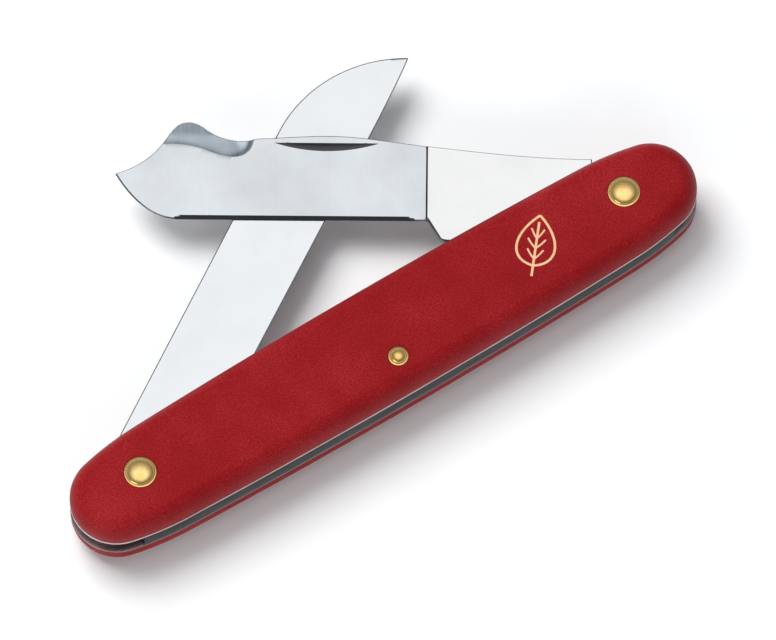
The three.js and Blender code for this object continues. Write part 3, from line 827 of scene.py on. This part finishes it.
def coordinates(tree, scale=(1, 1, 1), turn=0.0):
    """Object coordinates in millimetres, turned about Z and then stretched by scale."""
    source = add(tree, "ShaderNodeTexCoord")
    rotate = add(tree, "ShaderNodeMapping")
    rotate.inputs["Rotation"].default_value = (0, 0, -turn)
    tree.links.new(source.outputs["Object"], rotate.inputs["Vector"])
    mapping = add(tree, "ShaderNodeMapping")
    mapping.inputs["Scale"].default_value = [s / MM for s in scale]
    tree.links.new(rotate.outputs["Vector"], mapping.inputs["Vector"])
    return mapping.outputs["Vector"]


def noise(tree, vector, scale, detail=4.0, rough=0.6):
    node = add(tree, "ShaderNodeTexNoise")
    node.inputs["Scale"].default_value = scale
    node.inputs["Detail"].default_value = detail
    node.inputs["Roughness"].default_value = rough
    tree.links.new(vector, node.inputs["Vector"])
    return node.outputs["Fac"]


def remap(tree, value, low, high, to_low, to_high):
    """The value moved from one range to another, and held at its ends."""
    node = add(tree, "ShaderNodeMapRange")
    for key, number in (("From Min", low), ("From Max", high), ("To Min", to_low), ("To Max", to_high)):
        node.inputs[key].default_value = number
    tree.links.new(value, node.inputs["Value"])
    return node.outputs["Result"]


def ramp(tree, value, stops):
    """A colour that changes with the value, from (place, colour) pairs."""
    node = add(tree, "ShaderNodeValToRGB")
    while len(node.color_ramp.elements) < len(stops):
        node.color_ramp.elements.new(0.5)
    for element, (place, color) in zip(node.color_ramp.elements, stops):
        element.position = place
        element.color = (*color, 1)
    tree.links.new(value, node.inputs["Fac"])
    return node.outputs["Color"]


def bump(tree, shader, layers):
    """Stacks bumps: each layer is a height, its strength and its depth in millimetres."""
    normal = None
    for height, strength, depth in layers:
        node = add(tree, "ShaderNodeBump")
        node.inputs["Strength"].default_value = strength
        node.inputs["Distance"].default_value = depth * MM
        tree.links.new(height, node.inputs["Height"])
        if normal is not None:
            tree.links.new(normal, node.inputs["Normal"])
        normal = node.outputs["Normal"]
    tree.links.new(normal, shader.inputs["Normal"])


def nylon_material():
    """Moulded nylon: fine sandy grain, faint pale specks and slow changes of red."""
    material, tree, shader = new_material("red_nylon", (0.25, 0.005, 0.007), 0.0, 0.5)
    shader.inputs["Specular IOR Level"].default_value = 0.14
    even = coordinates(tree)
    grain = noise(tree, even, 5.5, 3.0, 0.7)
    drift = noise(tree, even, 0.12, 2.0)
    specks = noise(tree, even, 4.6, 5.0, 0.8)
    mix = add(tree, "ShaderNodeMath", operation="MULTIPLY_ADD")
    mix.inputs[1].default_value = 0.35
    tree.links.new(drift, mix.inputs[0])
    tree.links.new(remap(tree, specks, 0.3, 0.72, 0.0, 0.65), mix.inputs[2])
    color = ramp(tree, mix.outputs[0], [
        (0.12, (0.17, 0.0025, 0.0034)),
        (0.48, (0.252, 0.0058, 0.0082)),
        (0.76, (0.38, 0.026, 0.032)),
    ])
    tree.links.new(color, shader.inputs["Base Color"])
    tree.links.new(remap(tree, grain, 0.3, 0.7, 0.42, 0.58), shader.inputs["Roughness"])
    bump(tree, shader, [(grain, 0.35, 0.03), (specks, 0.25, 0.04)])
    return material


def brass_material():
    """Satin brass: fine wiped scratches, with a slightly darker tarnish in patches."""
    material, tree, shader = new_material("brass", (0.86, 0.6, 0.2), 0.86, 0.25)
    scratches = noise(tree, coordinates(tree, (9, 0.7, 9)), 1.0, 3.0)
    tarnish = noise(tree, coordinates(tree), 0.9, 4.0, 0.65)
    color = ramp(tree, tarnish, [
        (0.3, (0.88, 0.54, 0.16)),
        (0.55, (0.95, 0.64, 0.24)),
        (0.85, (0.98, 0.74, 0.35)),
    ])
    tree.links.new(color, shader.inputs["Base Color"])
    tree.links.new(remap(tree, tarnish, 0.3, 0.7, 0.26, 0.14), shader.inputs["Roughness"])
    bump(tree, shader, [(scratches, 0.12, 0.01)])
    return material


def blade_material(name, across, turn, low, high, tint, spread=0.03):
    """Blade steel: fine lines along one direction over a slow change of brightness."""
    material, tree, shader = new_material(name, tint, 1.0, low)
    lines = noise(tree, coordinates(tree, across, turn), 1.0, 5.0, 0.7)
    fine = noise(tree, coordinates(tree, tuple(3.1 * a for a in across), turn), 1.0, 2.0)
    cloud = noise(tree, coordinates(tree), 0.09, 3.0)
    streaks = add(tree, "ShaderNodeMath", operation="MULTIPLY_ADD")
    streaks.inputs[1].default_value = 0.5
    tree.links.new(lines, streaks.inputs[0])
    tree.links.new(remap(tree, cloud, 0.3, 0.7, 0.0, 0.5), streaks.inputs[2])
    dull = tuple((1 - spread) * t for t in tint)
    bright = tuple(min(1.0, (1 + spread) * t) for t in tint)
    color = ramp(tree, streaks.outputs["Value"], [(0.28, dull), (0.68, bright)])
    tree.links.new(color, shader.inputs["Base Color"])
    tree.links.new(remap(tree, lines, 0.25, 0.75, low, high), shader.inputs["Roughness"])
    bump(tree, shader, [(lines, 0.12, 0.006), (fine, 0.1, 0.004)])
    return material


def edge_steel(name, dark, light):
    """Steel whose edges are ground along the handle, with stains that follow the grinding."""
    material, tree, shader = new_material(name, light, 1.0, 0.3)
    lines = noise(tree, coordinates(tree, (0.12, 5, 5)), 1.0, 4.0)
    stain = noise(tree, coordinates(tree, (0.3, 1, 1)), 0.5, 3.0)
    tree.links.new(ramp(tree, stain, [(0.3, dark), (0.7, light)]), shader.inputs["Base Color"])
    tree.links.new(remap(tree, lines, 0.3, 0.7, 0.22, 0.38), shader.inputs["Roughness"])
    bump(tree, shader, [(lines, 0.2, 0.01)])
    return material


def print_material():
    """Gold ink of the leaf mark, slightly worn in spots."""
    material, tree, shader = new_material("gold_print", (0.85, 0.5, 0.16), 0.35, 0.38)
    wear = noise(tree, coordinates(tree), 2.6, 4.0)
    color = ramp(tree, wear, [(0.3, (0.8, 0.42, 0.2)), (0.55, (0.92, 0.56, 0.31))])
    tree.links.new(color, shader.inputs["Base Color"])
    bump(tree, shader, [(wear, 0.1, 0.01)])
    return material


def floor_material():
    """Matt white board with a barely visible mottle."""
    material, tree, shader = new_material("pale_floor", (0.86, 0.865, 0.87), 0.0, 0.8)
    shader.inputs["Specular IOR Level"].default_value = 0.1
    mottle = noise(tree, coordinates(tree), 0.06, 3.0)
    color = ramp(tree, mottle, [(0.3, (0.885, 0.888, 0.89)), (0.7, (0.905, 0.907, 0.91))])
    tree.links.new(color, shader.inputs["Base Color"])
    return material


def paint(obj, material):
    obj.data.materials.clear()
    obj.data.materials.append(material)


def paint_faces(obj, materials, choose):
    """Gives each face the material whose index choose returns for its centre and its normal's z."""
    obj.data.materials.clear()
    for material in materials:
        obj.data.materials.append(material)
    faces = obj.data.polygons
    centres = np.array([f.center[:2] for f in faces]) / MM
    levels = np.array([f.normal.z for f in faces])
    for face, index in zip(faces, choose(centres, levels)):
        face.material_index = int(index)


def budding_faces(centres, levels):
    """Ground face 0, polished ricasso and back 1, thinned bark lifter 2, edges and bevel 3, nick 4; 3
    and 4 are darkened to paint shade.
    """
    local = in_blade(centres, BUDDING_PIVOT, -math.radians(BUDDING_ANGLE), True)
    nick = inside(local, nick_zone(*budding_nick())) & (levels > 0)
    lifted = inside(local, lifter_zone())
    index = np.where((local[:, 0] < RICASSO) | (levels < 0), 1, np.where(lifted, 2, 0))
    steep = (np.abs(levels) < STEEP) | ((levels > 0) & (levels < BEVEL_STEEP) & ~lifted)
    steep |= distance_to(local, budding_outline(), True) < RIM_LINE
    return np.where(nick, 4, np.where(steep, 3, index))


def grafting_faces(centres, levels):
    """Flat faces 0, edges 1, nick 2; 1 and 2 are darkened to paint shade."""
    local = in_blade(centres, GRAFTING_PIVOT, math.radians(GRAFTING_ANGLE), False)
    nick = inside(local, nick_zone(*grafting_nick())) & (levels < 0)
    near = distance_to(local, grafting_outline(), True) < RIM_LINE
    return np.where(nick, 2, np.where((np.abs(levels) < STEEP) | near, 1, 0))


def liner_faces(centres, levels):
    """Bright cut edge 0 and flat faces 1; the flat faces are darkened to paint the shade in the recesses
    at the handle's ends.
    """
    return np.where(np.abs(levels) > FLAT, 1, 0)


# ---- printed leaf

LEAF_CENTRE = (24.7, 0.0)
LEAF_TURN = math.radians(50)
LEAF_LENGTH = 9.2
LEAF_HALF_WIDTH = 2.9
LEAF_STALK = 1.6
INK_WIDTH = 0.34
INK_HEIGHT = 0.02
INK_GAP = 0.001  # keeps the ink just clear of the scale
INK_STEP = 0.002  # each line is this much higher than the one before, so that no two faces coincide
VEIN_PLACES = (-0.9, 0.7, 2.2)  # along the midrib, from the leaf's middle


def stroke(path, width):
    """Left side and then right side of a line of ink."""
    return np.concatenate([shifted(path, width / 2), shifted(path, -width / 2)[::-1]])


def leaf_lines():
    """Each line of the leaf with its width: two sides, the midrib and the veins."""
    tip, foot = LEAF_LENGTH / 2, LEAF_STALK - LEAF_LENGTH / 2
    lines = [(bezier((foot, 0), (foot + 0.6, side * LEAF_HALF_WIDTH * 1.25),
                     (tip - 3.2, side * LEAF_HALF_WIDTH * 1.2), (tip, 0)), INK_WIDTH)
             for side in (1, -1)]
    lines.append((line((-tip, 0), (tip - 1.0, 0)), INK_WIDTH))
    for place in VEIN_PLACES:
        for side in (1, -1):
            reach = 1.35 - 0.22 * abs(place - 0.2)
            vein = bezier((place - 1.0, side * 0.1), (place - 0.5, side * reach * 0.55),
                          (place + 0.35, side * reach))
            lines.append((vein, INK_WIDTH * 0.75))
    return lines


def leaf_mark(material):
    """A plain leaf with a midrib and side veins, printed on the front scale."""
    face = extent("front_scale")[1][2]
    verts, faces = [], []
    for number, (path, width) in enumerate(leaf_lines()):
        outline = in_part(stroke(path, width), LEAF_CENTRE, LEAF_TURN, False)
        start, count = len(verts), len(outline)
        for level in (face + INK_GAP, face + INK_HEIGHT + INK_STEP * number):
            verts += [(*p, level) for p in outline]
        for k in range(count // 2 - 1):
            quad = (k, k + 1, count - 2 - k, count - 1 - k)
            faces.append(tuple(start + q for q in reversed(quad)))
            faces.append(tuple(start + count + q for q in quad))
        for k in range(count):
            j = (k + 1) % count
            faces.append((start + k, start + j, start + count + j, start + count + k))
    piece = new_object("leaf_print", verts, faces)
    paint(piece, material)
    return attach(piece, "handle")


# ---- floor, lights and camera

VIEW_AZIMUTH = -31.78
VIEW_ELEVATION = 67.0
VIEW_DISTANCE = 2.0
VIEW_TARGET = Vector((0.00234, 0.00287, 0.00738))
VIEW_LENS = 671.0
VIEW_ROLL = -0.4
PANEL_AZIMUTH = 148
PANEL_ELEVATION = 80
PANEL_CORE = 1.3  # how much brighter the panel is at its middle
LIGHT_DISTANCE = 0.9
FLOOR_HALF = 1.6


def direction(azimuth, elevation):
    """Unit vector towards a viewpoint: azimuth 0 is along -Y and turns towards +X."""
    a, e = math.radians(azimuth), math.radians(elevation)
    return Vector((math.sin(a) * math.cos(e), -math.cos(a) * math.cos(e), math.sin(e)))


def make_camera():
    """A long lens at the named viewpoint, aimed at the knife and rolled slightly."""
    data = bpy.data.cameras.new("camera")
    data.lens = VIEW_LENS
    data.sensor_width = 36
    data.clip_start, data.clip_end = 0.01, 20
    camera = linked("camera", data)
    back = direction(VIEW_AZIMUTH, VIEW_ELEVATION)
    camera.location = VIEW_TARGET + back * VIEW_DISTANCE
    aim = (-back).to_track_quat("-Z", "Y").to_matrix().to_4x4()
    roll = Matrix.Rotation(math.radians(VIEW_ROLL), 4, "Z")
    camera.rotation_euler = (aim @ roll).to_euler()
    bpy.context.scene.camera = camera


def area_light(name, azimuth, elevation, size, power, mirrored=True):
    """A lamp that faces the knife; size is in metres and power in watts."""
    data = bpy.data.lights.new(name, "AREA")
    data.shape = "RECTANGLE"
    data.size, data.size_y = size
    data.energy = power
    light = linked(name, data)
    back = direction(azimuth, elevation)
    light.location = back * LIGHT_DISTANCE
    light.rotation_euler = (-back).to_track_quat("-Z", "Y").to_euler()
    light.visible_glossy = mirrored


def make_world():
    """A studio with grey walls and one pale ceiling panel, high up and a little behind the knife."""
    world = bpy.data.worlds.new("studio")
    bpy.context.scene.world = world
    world.use_nodes = True
    tree = world.node_tree
    background = tree.nodes["Background"]
    source = add(tree, "ShaderNodeTexCoord")
    towards = add(tree, "ShaderNodeVectorMath", operation="DOT_PRODUCT")
    tree.links.new(source.outputs["Generated"], towards.inputs[0])
    towards.inputs[1].default_value = direction(PANEL_AZIMUTH, PANEL_ELEVATION)
    color = ramp(tree, towards.outputs["Value"], [
        (0.2, (0.05, 0.052, 0.055)),
        (0.78, (0.09, 0.095, 0.105)),
        (0.89, (0.27, 0.3, 0.33)),
        (0.935, (0.66, 0.69, 0.72)),
        (0.965, (1.0, 1.01, 1.02)),
    ])
    bright = add(tree, "ShaderNodeVectorMath", operation="SCALE")
    core = remap(tree, towards.outputs["Value"], 0.95, 0.97, 1.0, PANEL_CORE)
    tree.links.new(color, bright.inputs[0])
    tree.links.new(core, bright.inputs["Scale"])
    height = add(tree, "ShaderNodeSeparateXYZ")
    tree.links.new(source.outputs["Generated"], height.inputs["Vector"])
    walls = ramp(tree, height.outputs["Z"], [
        (0.0, (0.4, 0.41, 0.42)),
        (0.45, (0.34, 0.35, 0.36)),
        (0.7, (0.05, 0.052, 0.055)),
    ])
    both = add(tree, "ShaderNodeVectorMath", operation="MAXIMUM")
    tree.links.new(bright.outputs["Vector"], both.inputs[0])
    tree.links.new(walls, both.inputs[1])
    tree.links.new(both.outputs["Vector"], background.inputs["Color"])
    background.inputs["Strength"].default_value = 1.0


def make_floor(material):
    level = cad_box[0].z
    corners = [(-1, -1), (1, -1), (1, 1), (-1, 1)]
    mesh = bpy.data.meshes.new("floor")
    mesh.from_pydata([(x * FLOOR_HALF, y * FLOOR_HALF, level) for x, y in corners], [], [(0, 1, 2, 3)])
    floor = linked("floor", mesh)
    paint(floor, material)


# ---- assembly

make_camera()
make_world()
area_light("key", 195, 60, (0.56, 0.56), 7.2, mirrored=False)
area_light("front_fill", -20, 30, (0.7, 0.3), 1.9, mirrored=False)
area_light("end_fill", -72, 30, (0.5, 0.3), 1.2)

nylon = nylon_material()
brass = brass_material()
# Both liner steels are tinted pink to paint the red scales' reflection; the back liner's darker copy
# paints its shade.
front_liner_steel = edge_steel("front_liner_steel", (0.5, 0.44, 0.43), (0.66, 0.6, 0.59))
shaded_back_liner_steel = edge_steel("shaded_back_liner_steel", (0.22, 0.17, 0.17), (0.34, 0.27, 0.27))
# Dark, pinkish steel for the liners' flat faces paints their shade in the end recesses and the red
# scales' reflection.
shaded_liner_face = edge_steel("shaded_liner_face", (0.22, 0.16, 0.16), (0.32, 0.25, 0.25))
# Near-black steel for the back spring paints the shade and the dark reflection on the band between the
# liners.
spring_steel = edge_steel("spring_steel", (0.025, 0.03, 0.03), (0.06, 0.07, 0.07))
# How dense a steel's lines are along and across its blade: a low number draws them out that way.
budding_turn, grafting_turn = -math.radians(BUDDING_ANGLE), math.radians(GRAFTING_ANGLE)
broad, narrow, along = (1.7, 0.05, 1.7), (4, 0.3, 4), (0.5, 3, 3)
ground_steel = blade_material("ground_steel", broad, budding_turn, 0.16, 0.24,
                              (0.575, 0.595, 0.615), 0.07)
thinned_steel = blade_material("thinned_steel", broad, budding_turn, 0.2, 0.36, (0.6, 0.66, 0.71), 0.16)
polished_steel = blade_material("polished_steel", along, budding_turn, 0.1, 0.14, (0.715, 0.71, 0.705))
grafting_steel = blade_material("grafting_steel", narrow, grafting_turn, 0.1, 0.15, (0.68, 0.69, 0.705))
# Dark steel for the blade edges and cutting bevel paints the shade on them.
shaded_rim_steel = blade_material("shaded_rim_steel", narrow, 0.0, 0.25, 0.4, (0.12, 0.13, 0.14))
# Rougher steel in the nail nicks, darkened to paint the shade in the nick.
rough_shaded_nick_steel = blade_material("rough_shaded_nick_steel", narrow, budding_turn, 0.3, 0.45, (0.27, 0.265, 0.27))

make_floor(floor_material())
paint(scale_piece("front_scale_shell", "front_scale", 1), nylon)
paint(scale_piece("back_scale_shell", "back_scale", -1), nylon)
for side, steel in (("front", front_liner_steel), ("back", shaded_back_liner_steel)):
    paint_faces(liner_piece(f"{side}_liner_plate", f"{side}_liner"), (steel, shaded_liner_face), liner_faces)
paint(spring_piece(), spring_steel)
for rivet in RIVETS:
    paint(rivet_piece(rivet), brass)
    for side in ("front", "back"):
        paint(washer_piece(rivet, side), brass)
blade, boss = budding_blade()
paint_faces(blade, (ground_steel, polished_steel, thinned_steel, shaded_rim_steel, rough_shaded_nick_steel), budding_faces)
paint(boss, polished_steel)
blade, boss = grafting_blade()
paint_faces(blade, (grafting_steel, shaded_rim_steel, rough_shaded_nick_steel), grafting_faces)
paint(boss, grafting_steel)
leaf_mark(print_material())

bpy.context.scene.view_settings.view_transform = "Standard"
